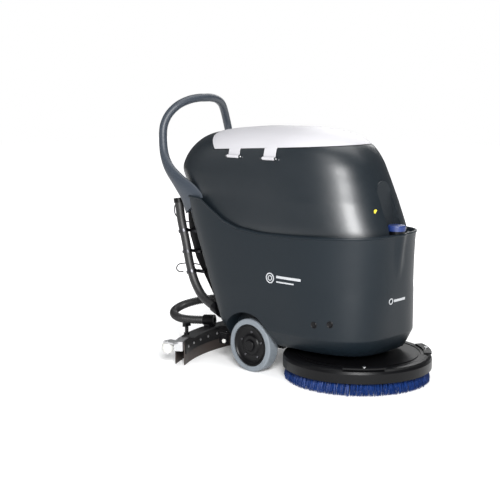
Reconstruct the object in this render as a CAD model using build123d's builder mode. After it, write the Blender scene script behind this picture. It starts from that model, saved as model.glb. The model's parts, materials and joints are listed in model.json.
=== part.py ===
from build123d import *
import math
import os

# Walk-behind floor scrubber, in millimetres. +X is forward, +Y is left, +Z is up.
# The floor is Z = 0 and the origin is the middle of the machine's outline on the floor.

# ---- overall dimensions ----
overall_length = 1114.0
squeegee_half_width = 347.0
wheelbase = 336.0            # axle to brush centre
shell_half_width = 240.0
shell_wall = 6.0
tank_wall = 5.0
seat_gap = 0.3               # static gap between neighbouring parts
running_gap = 0.05           # radial clearance of shafts and pins
slide_gap = 1.0              # clearance round a piece that slides in its guide

# ---- wheels ----
wheel_radius = 100.0
wheel_width = 50.0
wheel_face_y = 217.0
hub_radius = 80.0
hub_cap_radius = 19.0
axle_radius = 10.0
arch_radius = 128.0
arch_wall = 6.0

# ---- brush and deck ----
brush_radius = 268.0
bristle_height = 47.0
bristle_inner_radius = 120.0
disc_thickness = 13.0
deck_radius = 272.0
deck_wall = 6.0
deck_rim_top = 80.0
deck_top = 96.0
housing_half_width = 96.0
housing_top = 150.0
motor_radius = 62.0
motor_height = 100.0
gearbox_radius = 45.0
shaft_radius = 12.0
arm_length = 65.0
arm_pivot_z = 100.0
arm_thickness = 10.0
lug_thickness = 8.0
pin_radius = 6.0

# ---- stations along the machine ----
brush_x = overall_length / 2 - deck_radius
axle_x = brush_x - wheelbase
arm_pivot_x = axle_x + 30.0
deck_pivot_x = arm_pivot_x + arm_length

# ---- lower shell ----
shell_bottom = 120.0
band_top = 178.0
band_inset = 34.0            # how far the bottom band leans in
lip_z = 557.0
shell_top = 640.0            # top of the rear corners
rear_foot_z = 104.0
rear_foot_x = axle_x - 146.0
rear_slope = 0.42            # how far the rear wall leans back per mm of height
nose_radius = 200.0
floor_thickness = 8.0
shelf_z = 530.0
shelf_thickness = 6.0
shelf_width = 25.0
front_shelf_x = axle_x + 455.0
belly_half_width = 149.0
belly_rear_x = axle_x - 122.0
belly_front_x = axle_x + 428.0

# ---- upper tank and lid ----
tank_half_width = 228.0
tank_rear_x = axle_x - 440.0
tank_front_x = axle_x + 466.0
tank_top = 905.0
lid_gap = 3.0
lid_rear_x = axle_x - 237.0
lid_rear_z = 818.0
lid_slope = 0.058
tab_width = 55.0
tab_centres = [axle_x - 62.0, axle_x + 112.0]
knuckle_radius = 6.0
hinge_pin_radius = 3.0
hinge_y = -201.0
hinge_z = 798.0

# ---- handle ----
tube_radius = 16.0
arm_base_long = 92.0
arm_base_thick = 36.0

# ---- filler ----
filler_x = axle_x + 500.0
filler_cap_radius = 31.6
filler_neck_radius = 27.0
filler_bore_radius = 23.0

# ---- squeegee ----
squeegee_arc = 637.0
squeegee_mid_x = axle_x + 287.0
squeegee_bottom = 60.0
squeegee_top = 96.0
squeegee_depth = 34.0
blade_thickness = 4.0
blade_clearance = 1.0
strap_thickness = 5.0
roller_radius = 23.0
roller_height = 36.0
knob_y = 250.0
squeegee_pivot_x = axle_x - 150.0
squeegee_pivot_z = 92.0

# ---- hoses and rear cover ----
vacuum_hose_radius = 17.0
drain_hose_radius = 17.0
drain_y = -185.0
cover_half_width = 150.0

os.makedirs("parts", exist_ok=True)


def save(solid, name):
    solid.label = name
    export_step(solid, "parts/" + name + ".step")


def rear_wall(z):
    """X of the lower shell's rear wall at height z."""
    return rear_foot_x - rear_slope * (z - rear_foot_z)


def prism_xz(points, half_width):
    """A prism across the machine, symmetric about its middle plane."""
    with BuildPart() as prism:
        with BuildSketch(Plane.XZ):
            with BuildLine():
                Polyline(*points, close=True)
            make_face()
        extrude(amount=half_width, both=True)
    return prism.part


def rod_y(x, z, y_low, y_high, radius):
    """A round bar across the machine from y_low to y_high."""
    middle = (y_low + y_high) / 2
    return Pos(x, middle, z) * Rot(90, 0, 0) * Cylinder(radius, y_high - y_low, mode=Mode.PRIVATE)


def rod_x(x_low, x_high, y, z, radius):
    """A round bar along the machine from x_low to x_high."""
    middle = (x_low + x_high) / 2
    return Pos(middle, y, z) * Rot(0, 90, 0) * Cylinder(radius, x_high - x_low, mode=Mode.PRIVATE)


def rod_z(x, y, z_low, z_high, radius):
    """An upright round bar from z_low to z_high."""
    return Pos(x, y, (z_low + z_high) / 2) * Cylinder(radius, z_high - z_low, mode=Mode.PRIVATE)


def bar(x_low, x_high, y_low, y_high, z_low, z_high):
    """A rectangular block between two corners."""
    size = (x_high - x_low, y_high - y_low, z_high - z_low)
    middle = ((x_low + x_high) / 2, (y_low + y_high) / 2, (z_low + z_high) / 2)
    return Pos(*middle) * Box(*size, mode=Mode.PRIVATE)


# ---------------------------------------------------------------- upper tank and lid
def tank_form(inset):
    """The upper tank's form from its plan, side and end outlines, drawn inwards by inset."""
    with BuildPart() as form:
        with BuildSketch() as plan:
            with Locations(((tank_rear_x + tank_front_x) / 2, 0)):
                Rectangle(tank_front_x - tank_rear_x, 2 * tank_half_width)
            fillet(plan.vertices().group_by(Axis.X)[-1], 180.0)
            fillet(plan.vertices().group_by(Axis.X)[0], 120.0)
            offset(amount=-inset)
        extrude(amount=1000.0)
        with BuildSketch(Plane.XZ):
            with BuildLine():
                Polyline(
                    (axle_x - 440.0, 752.0),
                    (axle_x - 436.0, 728.0),
                    (axle_x - 352.0, shell_top),
                    (axle_x - 305.0, shelf_z + seat_gap),
                    (axle_x + 458.0, shelf_z + seat_gap),
                    (axle_x + 458.0, 655.0),
                    (axle_x + 424.0, 740.0),
                    (axle_x + 397.0, 794.0),
                    (axle_x + 357.0, 841.0),
                    (axle_x + 342.0, 852.0),
                )
                ThreePointArc(
                    (axle_x + 342.0, 852.0), (axle_x + 50.0, tank_top), (axle_x - 290.0, 878.0))
                ThreePointArc((axle_x - 290.0, 878.0), (axle_x - 394.0, 832.0), (axle_x - 440.0, 752.0))
            make_face()
            offset(amount=-inset)
        extrude(amount=400.0, both=True, mode=Mode.INTERSECT)
        with BuildSketch(Plane.YZ):
            with BuildLine():
                Polyline(
                    (-185.0, 841.0), (-197.0, 794.0), (-206.0, 740.0), (-217.0, 640.0),
                    (-228.0, shelf_z + seat_gap), (228.0, shelf_z + seat_gap),
                    (217.0, 640.0), (206.0, 740.0), (197.0, 794.0), (185.0, 841.0),
                )
                ThreePointArc((185.0, 841.0), (0.0, tank_top + 1.0), (-185.0, 841.0))
            make_face()
            offset(amount=-inset)
        extrude(amount=900.0, both=True, mode=Mode.INTERSECT)
    return form.part


# ---------------------------------------------------------------- lower shell
def shell_form(inset, floor_z, top_points):
    """The lower shell's form: a plan outline cut to its side and end profiles."""
    half = shell_half_width - inset
    front = axle_x + 540.0 - inset
    with BuildPart() as form:
        with BuildSketch() as plan:
            with Locations((front - 600.0, 0)):
                Rectangle(1200.0, 2 * half)
            fillet(plan.vertices().group_by(Axis.X)[-1], nose_radius - inset)
        extrude(amount=720.0)
        with BuildSketch(Plane.XZ):
            with BuildLine():
                Polyline(
                    (rear_wall(floor_z) + inset, floor_z),
                    (axle_x + 478.0 - inset, floor_z),
                    (axle_x + 502.0 - inset, band_top),
                    (axle_x + 520.0 - inset, 430.0),
                    (axle_x + 538.0 - inset, lip_z),
                    *top_points,
                    close=True,
                )
            make_face()
        extrude(amount=400.0, both=True, mode=Mode.INTERSECT)
        with BuildSketch(Plane.YZ):
            with BuildLine():
                Polyline(
                    (half - band_inset, shell_bottom),
                    (half, band_top),
                    (half, 720.0),
                    (-half, 720.0),
                    (-half, band_top),
                    (band_inset - half, shell_bottom),
                    close=True,
                )
            make_face()
        extrude(amount=900.0, both=True, mode=Mode.INTERSECT)
    return form.part


ledge_rise = [
    (axle_x + 300.0, 541.0),
    (axle_x + 206.0, 537.0),
    (axle_x + 67.0, 534.0),
    (axle_x - 42.0, 544.0),
    (axle_x - 116.0, 566.0),
    (axle_x - 184.0, 604.0),
    (axle_x - 242.0, shell_top),
    (rear_wall(shell_top), shell_top),
]
open_top = [(axle_x + 538.0 - shell_wall, 720.0), (rear_wall(720.0) + shell_wall, 720.0)]
inner_floor = shell_bottom + floor_thickness
wheel_box_y = wheel_face_y - wheel_width - slide_gap

tank_pocket = tank_form(-seat_gap)

with BuildPart() as solution_tank:
    add(shell_form(0, shell_bottom, ledge_rise))
    add(shell_form(shell_wall, inner_floor, open_top), mode=Mode.SUBTRACT)
    for side in (-1, 1):
        # the rear corners are solid where the handle arms stand on them
        low, high = sorted((side * 202.0, side * (shell_half_width - shell_wall / 2)))
        add(bar(axle_x - 364.0, axle_x - 268.0, low, high, 590.0, shell_top)
            & shell_form(shell_wall / 2, inner_floor, open_top))
        # wheel box
        low, high = sorted((side * (wheel_box_y - arch_wall), side * (wheel_box_y + 62.0)))
        add(rod_y(axle_x, wheel_radius, low, high, arch_radius + arch_wall)
            & bar(axle_x - 200.0, axle_x + 200.0, low, high, shell_bottom, 400.0))
    # shelf for the upper tank, with a wider deck at the front for the filler
    add(shell_form(shell_wall / 2, inner_floor, open_top)
        & bar(-700.0, 700.0, -300.0, 300.0, shelf_z - shelf_thickness, shelf_z))
    hole = shell_form(shell_wall + shelf_width, inner_floor, open_top)
    add(hole & bar(-700.0, front_shelf_x, -300.0, 300.0, shelf_z - 20.0, shelf_z + 10.0), mode=Mode.SUBTRACT)
    for side in (-1, 1):
        low, high = sorted((side * wheel_box_y, side * (wheel_box_y + 120.0)))
        add(rod_y(axle_x, wheel_radius, low, high, arch_radius), mode=Mode.SUBTRACT)
    # belly opening for the chassis plate, the deck and its motor
    add(bar(belly_rear_x, belly_front_x, -belly_half_width, belly_half_width, 100.0, inner_floor + 1.0),
        mode=Mode.SUBTRACT)
    with Locations((filler_x, 0, shelf_z)):
        Cylinder(filler_bore_radius, 40.0, mode=Mode.SUBTRACT)
    add(tank_pocket, mode=Mode.SUBTRACT)
save(solution_tank.part, "solution_tank")
print("shell", solution_tank.part.volume / 1e6, len(solution_tank.part.solids()))


# ---------------------------------------------------------------- lid outline
def lid_line(x):
    """Height of the lid's cut line above station x."""
    return lid_rear_z + lid_slope * (x - lid_rear_x)


def lid_outline(drop):
    """Side outline of all that belongs to the lid, grown downwards and back by drop."""
    return [
        (lid_rear_x - drop, lid_rear_z - drop),
        (lid_rear_x - 80.0 - 1.5 * drop, 895.0),
        (lid_rear_x - 80.0 - 1.5 * drop, 960.0),
        (axle_x + 500.0, 960.0),
        (axle_x + 500.0, lid_line(axle_x + 500.0) - drop),
    ]


outer_tank = tank_form(0)
inner_tank = tank_form(tank_wall)
ear_width = 8.0
notch_half = tab_width / 2 + lid_gap
pin_half = notch_half + ear_width
with BuildPart() as recovery_tank:
    add(outer_tank)
    add(inner_tank, mode=Mode.SUBTRACT)
    add(prism_xz(lid_outline(lid_gap), 300.0), mode=Mode.SUBTRACT)
    for x in tab_centres:
        for low, high in ((x - pin_half, x - notch_half), (x + notch_half, x + pin_half)):
            add(rod_x(low, high, hinge_y, hinge_z, knuckle_radius))
            add(bar(low, high, hinge_y, hinge_y + 6.0, hinge_z - knuckle_radius, hinge_z + knuckle_radius))
        add(bar(x - notch_half, x + notch_half, -230.0, -180.0,
                hinge_z - knuckle_radius - lid_gap, lid_line(x)), mode=Mode.SUBTRACT)
        add(rod_x(x - pin_half, x + pin_half, hinge_y, hinge_z, hinge_pin_radius + running_gap),
            mode=Mode.SUBTRACT)
save(recovery_tank.part, "recovery_tank")
print("tank", round(recovery_tank.part.volume / 1e6, 2), len(recovery_tank.part.solids()))

shell_skin = outer_tank - inner_tank
with BuildPart() as tank_lid:
    add(shell_skin)
    add(prism_xz(lid_outline(0), 300.0), mode=Mode.INTERSECT)
    for x in tab_centres:
        low, high = x - tab_width / 2, x + tab_width / 2
        add(shell_skin & bar(low, high, -230.0, -180.0, hinge_z, lid_line(x) + 2.0))
        add(bar(low, high, hinge_y, hinge_y + 7.0, hinge_z - knuckle_radius, hinge_z + knuckle_radius))
        add(rod_x(low, high, hinge_y, hinge_z, knuckle_radius))
    for x in tab_centres:
        add(rod_x(x - 40.0, x + 40.0, hinge_y, hinge_z, hinge_pin_radius + running_gap), mode=Mode.SUBTRACT)
save(tank_lid.part, "tank_lid")
print("lid", round(tank_lid.part.volume / 1e6, 2), len(tank_lid.part.solids()))

with BuildPart() as lid_seal:
    add(tank_form(tank_wall + seat_gap))
    add(tank_form(tank_wall + 4.0), mode=Mode.SUBTRACT)
    add(prism_xz(lid_outline(9.0), 300.0), mode=Mode.INTERSECT)
    add(prism_xz(lid_outline(0.5), 300.0), mode=Mode.SUBTRACT)
save(lid_seal.part, "lid_seal")

with BuildPart() as lid_pins:
    for x in tab_centres:
        add(rod_x(x - pin_half, x + pin_half, hinge_y, hinge_z, hinge_pin_radius))
save(lid_pins.part, "lid_pins")

# ---- float valve inside the upper tank ----
tank_floor = shelf_z + seat_gap + tank_wall
float_x = axle_x - 200.0
cage_z = 740.0
cage_height = 60.0
cage_radius = 24.0
ball_radius = 15.0
with BuildPart() as float_cage:
    with Locations((float_x, 0, (tank_floor + cage_z) / 2)):
        Cylinder(18.0, cage_z - tank_floor)
    with Locations((float_x, 0, cage_z + cage_height / 2)):
        Cylinder(cage_radius, cage_height)
    with Locations((float_x, 0, cage_z + 4.0 + cage_height / 2)):
        Cylinder(cage_radius - 4.0, cage_height, mode=Mode.SUBTRACT)
    for turn in (0, 90):
        add(Pos(float_x, 0, cage_z + 32.0) * Rot(0, 0, turn)
            * Box(80.0, 20.0, 40.0, mode=Mode.PRIVATE), mode=Mode.SUBTRACT)
save(float_cage.part, "float_cage")
with BuildPart() as float_ball:
    with Locations((float_x, 0, cage_z + 4.0 + seat_gap + ball_radius)):
        Sphere(ball_radius)
save(float_ball.part, "float_ball")
with BuildPart() as tank_marker:
    add(rod_x(axle_x + 458.3, axle_x + 461.0, -72.0, 626.0, 8.0))
save(tank_marker.part, "tank_marker")

# ---------------------------------------------------------------- handle
arm_route = [
    # x from the axle, y, z, half height, half thickness
    (-316.0, 220.0, shell_top, arm_base_long / 2, arm_base_thick / 2),
    (-378.0, 216.0, 686.0, 28.0, 18.0),
    (-432.0, 209.0, 732.0, 23.0, 17.0),
    (-466.0, 200.0, 787.0, 18.0, 16.5),
    (-484.0, 190.0, 850.0, tube_radius, tube_radius),
]
hoop_route = [(-484.0, 190.0, 850.0), (-492.0, 172.0, 945.0), (-442.0, 92.0, 1006.0)]


def arm_loft(side):
    """One handle arm, from its oval foot on the shell to the round tube."""
    centres = [Vector(axle_x + x, side * y, z) for x, y, z, _, _ in arm_route]
    start = Vector(axle_x + hoop_route[0][0], side * hoop_route[0][1], hoop_route[0][2])
    ahead = Vector(axle_x + hoop_route[1][0], side * hoop_route[1][1], hoop_route[1][2])
    faces = []
    for i, (_, _, _, tall, thick) in enumerate(arm_route):
        along = Vector(0, 0, 1)
        if 0 < i < len(arm_route) - 1:
            along = centres[i + 1] - centres[i - 1]
        if i == len(arm_route) - 1:
            along = ahead - start
        across = Vector(0, 1, 0).cross(along)
        with BuildSketch(Plane(origin=centres[i], x_dir=across, z_dir=along)) as face:
            Ellipse(tall, thick)
        faces.append(face.sketch)
    return loft(faces)


arm_right = arm_loft(-1)
arm_left = arm_loft(1)
hoop_points = [(axle_x + x, -y, z) for x, y, z in hoop_route]
hoop_points += [(axle_x + x, y, z) for x, y, z in reversed(hoop_route)]
with BuildPart() as handle_hoop:
    with BuildLine() as hoop_line:
        FilletPolyline(*hoop_points, radius=[75.0, 80.0, 80.0, 75.0])
    with BuildSketch(Plane(origin=hoop_points[0], z_dir=Vector(*hoop_points[1]) - Vector(*hoop_points[0]))):
        Circle(tube_radius)
    sweep(path=hoop_line.wire())
    add(arm_right)
    add(arm_left)
    add(tank_pocket, mode=Mode.SUBTRACT)
save(handle_hoop.part, "handle_hoop")

# ---------------------------------------------------------------- rear cover and controls
cover_top = 600.0
cover_foot = 225.0
panel_half_width = 95.0
panel_rear = axle_x - 466.0
panel_front = axle_x - 446.0
button_radius = 9.0
key_z = 770.0
button_z = 735.0
lever_z = 745.0
cover_outline = [
    (rear_wall(cover_foot), cover_foot),
    (axle_x - 232.0, cover_foot),
    (axle_x - 290.0, 310.0),
    (axle_x - 343.0, 385.0),
    (axle_x - 372.0, 460.0),
    (axle_x - 385.0, 540.0),
    (axle_x - 385.0, cover_top),
    (rear_wall(cover_top), cover_top),
]
with BuildPart() as rear_cover:
    add(prism_xz(cover_outline, cover_half_width))
save(rear_cover.part, "rear_cover")

with BuildPart() as control_panel:
    add(prism_xz([
        (axle_x - 358.0, cover_top), (panel_front, 712.0), (panel_front, 795.0),
        (panel_rear, 795.0), (panel_rear, 700.0), (axle_x - 384.0, cover_top),
    ], panel_half_width))
    add(rod_x(panel_rear - 5.0, panel_rear + 10.0, 30.0, button_z, button_radius + 0.5), mode=Mode.SUBTRACT)
    add(rod_y(panel_front - 10.0, lever_z, panel_half_width - 1.0, panel_half_width + 10.0, 4.0))
save(control_panel.part, "control_panel")
with BuildPart() as start_button:
    add(rod_x(panel_rear - 4.0, panel_rear + 6.0, 30.0, button_z, button_radius))
save(start_button.part, "start_button")
with BuildPart() as key_switch:
    add(rod_x(panel_rear - 5.0, panel_rear, -30.0, key_z, 10.0))
    add(bar(panel_rear - 22.0, panel_rear - 5.0, -31.5, -28.5, key_z - 9.0, key_z + 9.0))
save(key_switch.part, "key_switch")
with BuildPart() as lift_lever:
    add(bar(panel_front - 55.0, panel_front, panel_half_width + 1.0, panel_half_width + 9.0,
            lever_z - 8.0, lever_z + 8.0))
    add(rod_y(panel_front - 10.0, lever_z, panel_half_width, panel_half_width + 12.0, 4.0 + running_gap),
        mode=Mode.SUBTRACT)
save(lift_lever.part, "lift_lever")


# ---------------------------------------------------------------- hoses and hooks
def hose_radii(points, least=0.0):
    """The arc radius for each corner: as large as its two runs allow."""
    radii = []
    for before, here, after in zip(points, points[1:], points[2:]):
        first = Vector(*here) - Vector(*before)
        second = Vector(*after) - Vector(*here)
        turn = math.radians(first.get_angle(second))
        radii.append(0.45 * min(first.length, second.length) / math.tan(turn / 2))
    return radii


def tube_along(points, radius):
    """A round tube whose path is straight runs joined by tangent arcs."""
    first = Vector(*points[1]) - Vector(*points[0])
    with BuildPart() as tube:
        with BuildLine() as line:
            FilletPolyline(*points, radius=hose_radii(points))
        with BuildSketch(Plane(origin=points[0], z_dir=first)):
            Circle(radius)
        sweep(path=line.wire())
    length = line.wire().length
    ratio = tube.part.volume / (math.pi * radius ** 2 * length)
    print("tube length", round(length, 1), "volume ratio", round(ratio, 4),
          "radii", [round(r) for r in hose_radii(points)])
    return tube.part


def from_axle(points):
    return [(axle_x + x, y, z) for x, y, z in points]


drain_route = from_axle([
    (-402.0, drain_y, 602.0), (-390.0, drain_y, 530.0), (-366.0, drain_y, 455.0),
    (-348.0, drain_y, 372.0), (-322.0, drain_y, 300.0), (-278.0, drain_y, 242.0),
    (-214.0, drain_y, 214.0),
])
vacuum_route = from_axle([
    (-215.0, 92.0, 192.0), (-282.0, 94.0, 190.0), (-366.0, 104.0, 184.0),
    (-450.0, 94.0, 174.0), (-524.0, 50.0, 160.0), (-560.0, -24.0, 145.0),
    (-536.0, -102.0, 131.0), (-468.0, -138.0, 122.0), (-402.0, -122.0, 121.0),
    (-352.0, -100.0, 124.5),
])
ring_route = from_axle([
    (-381.0, -120.0, 592.0), (-440.0, -120.0, 603.0), (-494.0, -120.0, 585.0),
    (-500.0, -120.0, 545.0), (-456.0, -120.0, 515.0), (-381.0, -120.0, 520.0),
])
j_route = from_axle([
    (-312.0, -120.0, 350.0), (-410.0, -120.0, 354.0), (-478.0, -120.0, 340.0),
    (-492.0, -120.0, 320.0), (-474.0, -120.0, 308.0), (-450.0, -120.0, 313.0),
])
level_route = from_axle([(-390.4, -142.0, 598.0), (-390.4, -142.0, 541.0), (-378.0, -142.0, 462.0)])

drain_hose = tube_along(drain_route, drain_hose_radius)
save(drain_hose, "drain_hose")
vacuum_hose = tube_along(vacuum_route, vacuum_hose_radius)
save(vacuum_hose, "vacuum_hose")
save(tube_along(ring_route, 2.5), "cable_ring_hook")
save(tube_along(j_route, 2.5), "cable_j_hook")
save(tube_along(level_route, 4.0), "level_tube")


def end_plane(points):
    """The plane at the last point of a route, facing onwards."""
    last = Vector(*points[-1])
    return Plane(origin=last, z_dir=last - Vector(*points[-2]))


with BuildPart() as drain_plug:
    with BuildSketch(end_plane(list(reversed(drain_route)))):
        Circle(drain_hose_radius + 3.0)
    extrude(amount=18.0)
save(drain_plug.part, "drain_plug")

wall_block = [(rear_wall(100.0), 100.0), (rear_wall(300.0), 300.0), (axle_x, 300.0), (axle_x, 100.0)]
with BuildPart() as hose_sockets:
    with BuildSketch(end_plane(list(reversed(vacuum_route)))):
        Circle(vacuum_hose_radius + 5.0)
        Circle(vacuum_hose_radius - 5.0, mode=Mode.SUBTRACT)
    extrude(amount=60.0)
    with BuildSketch(end_plane(drain_route)):
        Circle(drain_hose_radius + 4.0)
        Circle(drain_hose_radius - 5.0, mode=Mode.SUBTRACT)
    extrude(amount=60.0)
    add(prism_xz(wall_block, 300.0), mode=Mode.SUBTRACT)
save(hose_sockets.part, "hose_sockets")

clip_width = 12.0
with BuildPart() as hose_clips:
    for before, after in zip(drain_route[1:4], drain_route[2:5]):
        middle = (Vector(*before) + Vector(*after)) * 0.5
        with BuildSketch(Plane(origin=middle, z_dir=Vector(*after) - Vector(*before))):
            Circle(drain_hose_radius + 4.0)
            Circle(drain_hose_radius + seat_gap, mode=Mode.SUBTRACT)
        extrude(amount=clip_width / 2, both=True)
    for before, after in zip(drain_route[1:4], drain_route[2:5]):
        middle = (Vector(*before) + Vector(*after)) * 0.5
        add(bar(middle.X + 2.0, middle.X + 52.0, drain_y + drain_hose_radius + 1.0, -cover_half_width,
                middle.Z - 5.0, middle.Z + 5.0))
save(hose_clips.part, "hose_clips")

# ---------------------------------------------------------------- chassis
lug_y_low = 116.0
lug_y_high = 126.0
rail_low = 140.0
rail_high = 158.0
rail_top = inner_floor + 18.0
tray_z = 280.0
tray_rear = axle_x + 95.0
tray_front = axle_x + 405.0
plate_front = axle_x + 46.0
squeegee_lug_y = 50.0
with BuildPart() as chassis_frame:
    add(bar(belly_rear_x + 1.0, plate_front, -148.0, 148.0, shell_bottom, inner_floor))
    add(bar(axle_x + 412.0, axle_x + 425.0, -rail_high, rail_high, inner_floor, rail_top))
    add(bar(tray_rear, tray_front, -190.0, 190.0, tray_z, tray_z + 8.0))
    for side in (-1, 1):
        low, high = sorted((side * rail_low, side * rail_high))
        add(bar(axle_x - 138.0, axle_x + 425.0, low, high, inner_floor, rail_top))
        for x in (axle_x + 140.0, axle_x + 380.0):
            add(bar(x, x + 20.0, low, high, rail_top, tray_z))
        low, high = sorted((side * lug_y_low, side * lug_y_high))
        add(bar(axle_x - 18.0, axle_x + 45.0, low, high, 80.0, shell_bottom))
        low, high = sorted((side * squeegee_lug_y, side * (squeegee_lug_y + lug_thickness)))
        add(bar(axle_x - 164.0, axle_x - 100.0, low, high, 78.0, shell_bottom))
    add(rod_y(axle_x, wheel_radius, -300.0, 300.0, axle_radius + running_gap), mode=Mode.SUBTRACT)
    add(rod_y(arm_pivot_x, arm_pivot_z, -300.0, 300.0, pin_radius + running_gap), mode=Mode.SUBTRACT)
    add(rod_y(squeegee_pivot_x, squeegee_pivot_z, -90.0, 90.0, pin_radius + running_gap), mode=Mode.SUBTRACT)
save(chassis_frame.part, "chassis_frame")

with BuildPart() as rear_blocks:
    for side in (-1, 1):
        low, high = sorted((side * 190.0, side * 204.0))
        add(bar(axle_x - 168.0, axle_x - 130.0, low, high, 80.0, shell_bottom))
save(rear_blocks.part, "rear_blocks")

with BuildPart() as wheel_axle:
    add(rod_y(axle_x, wheel_radius, 12.0 - wheel_face_y, wheel_face_y - 12.0, axle_radius))
save(wheel_axle.part, "wheel_axle")

with BuildPart() as pivot_pins:
    add(rod_y(squeegee_pivot_x, squeegee_pivot_z, -62.0, 62.0, pin_radius))
    for side in (-1, 1):
        low, high = sorted((side * (lug_y_low - 4.0), side * 139.0))
        add(rod_y(arm_pivot_x, arm_pivot_z, low, high, pin_radius))
save(pivot_pins.part, "pivot_pins")

with BuildPart() as batteries:
    for side in (-1, 1):
        low, high = sorted((side * 6.0, side * 182.0))
        add(bar(tray_rear + 5.0, tray_front - 5.0, low, high, tray_z + 8.0, tray_z + 200.0))
save(batteries.part, "batteries")

vacuum_x = axle_x - 50.0
vacuum_top = 300.0
with BuildPart() as vacuum_motor:
    with Locations((vacuum_x, 0, (inner_floor + vacuum_top) / 2)):
        Cylinder(62.0, vacuum_top - inner_floor)
save(vacuum_motor.part, "vacuum_motor")
with BuildPart() as suction_duct:
    with Locations((vacuum_x, 0, (vacuum_top + shelf_z) / 2)):
        Cylinder(24.0, shelf_z - vacuum_top)
save(suction_duct.part, "suction_duct")
with BuildPart() as solution_filter:
    with Locations((axle_x - 60.0, 84.0, 100.0)):
        Cylinder(20.0, 40.0)
save(solution_filter.part, "solution_filter")

with BuildPart() as filler_neck:
    with Locations((filler_x, 0, shelf_z + 13.0)):
        Cylinder(filler_neck_radius, 26.0)
        Cylinder(filler_bore_radius, 26.0, mode=Mode.SUBTRACT)
save(filler_neck.part, "filler_neck")
with BuildPart() as filler_cap:
    with Locations((filler_x, 0, shelf_z + 26.0 + seat_gap + 10.0)):
        Cylinder(filler_cap_radius, 20.0)
    fillet(filler_cap.edges().group_by(Axis.Z)[-1], 5.0)
save(filler_cap.part, "filler_cap")


def nose_x(z):
    """X of the lower shell's front wall between the band and Z = 430."""
    return axle_x + 502.0 + 18.0 * (z - band_top) / (430.0 - band_top)


plate_thickness = 1.2
with BuildPart() as emblem_plates:
    for side in (-1, 1):
        face = shell_half_width + seat_gap
        low, high = sorted((side * face, side * (face + plate_thickness)))
        add(bar(axle_x + 98.0, axle_x + 317.0, low, high, 352.0, 396.0))
    add(prism_xz([
        (nose_x(288.0) + seat_gap, 288.0), (nose_x(334.0) + seat_gap, 334.0),
        (nose_x(334.0) + seat_gap + plate_thickness, 334.0), (nose_x(288.0) + seat_gap + plate_thickness, 288.0),
    ], 38.0))
save(emblem_plates.part, "emblem_plates")

with BuildPart() as shell_screws:
    for side in (-1, 1):
        for x, z in ((axle_x + 290.0, 229.0), (axle_x + 332.0, 233.0)):
            low, high = sorted((side * (shell_half_width + seat_gap), side * (shell_half_width + 2.5)))
            add(rod_y(x, z, low, high, 7.0))
        low, high = sorted((side * (204.0 + seat_gap), side * 211.0))
        add(rod_y(axle_x - 141.0, 92.0, low, high, 8.0))
save(shell_screws.part, "shell_screws")


# ---------------------------------------------------------------- wheels
def wheel(side, word):
    inner = wheel_face_y - wheel_width
    plane = Plane(origin=(axle_x, side * inner, wheel_radius), x_dir=(1, 0, 0), z_dir=(0, side, 0))
    with BuildPart() as tyre:
        with BuildSketch(plane):
            Circle(wheel_radius)
            Circle(hub_radius, mode=Mode.SUBTRACT)
        extrude(amount=wheel_width)
        fillet(tyre.edges().filter_by(GeomType.CIRCLE).sort_by(SortBy.RADIUS)[-2:], 6.0)
    save(tyre.part, "tyre_" + word)
    with BuildPart() as hub:
        with BuildSketch(plane):
            Circle(hub_radius)
        extrude(amount=wheel_width - 4.0)
        with BuildSketch(plane.offset(wheel_width - 4.0)):
            Circle(hub_cap_radius)
        extrude(amount=6.0)
        with BuildSketch(plane):
            Circle(axle_radius + running_gap)
        extrude(amount=wheel_width - 12.0 + seat_gap, mode=Mode.SUBTRACT)
    save(hub.part, "hub_" + word)


wheel(-1, "right")
wheel(1, "left")

# ---------------------------------------------------------------- deck and brush
housing_rear = axle_x + 100.0
housing_front = axle_x + 405.0
housing_wall = 5.0
gearbox_low = 100.0
with BuildPart() as deck_arms:
    for side in (-1, 1):
        plane = Plane(origin=(arm_pivot_x, side * (lug_y_high + slide_gap), arm_pivot_z),
                      x_dir=(1, 0, 0), z_dir=(0, side, 0))
        with BuildSketch(plane):
            with Locations((arm_length / 2, 0)):
                SlotCenterToCenter(arm_length, 22.0)
            with Locations((0, 0), (arm_length, 0)):
                Circle(pin_radius + running_gap, mode=Mode.SUBTRACT)
        extrude(amount=arm_thickness)
save(deck_arms.part, "deck_arms")

with BuildPart() as deck_cover:
    with BuildSketch(Plane(origin=(brush_x, 0, 0), x_dir=(1, 0, 0), z_dir=(0, -1, 0))):
        with BuildLine():
            Polyline(
                (deck_radius, bristle_height), (deck_radius, deck_rim_top),
                (deck_radius - 4.0, deck_rim_top + 8.0), (deck_radius - 12.0, deck_rim_top + 13.0),
                (deck_radius - 22.0, deck_top), (230.0, deck_top), (230.0, deck_top - 3.0),
                (222.0, deck_top - 3.0), (222.0, deck_top), (60.0, deck_top),
                (60.0, deck_top - deck_wall), (deck_radius - 26.0, deck_top - deck_wall),
                (deck_radius - deck_wall, deck_rim_top - 4.0), (deck_radius - deck_wall, bristle_height),
                close=True,
            )
        make_face()
    revolve(axis=Axis((brush_x, 0, 0), (0, 0, 1)))
save(deck_cover.part, "deck_cover")

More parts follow.
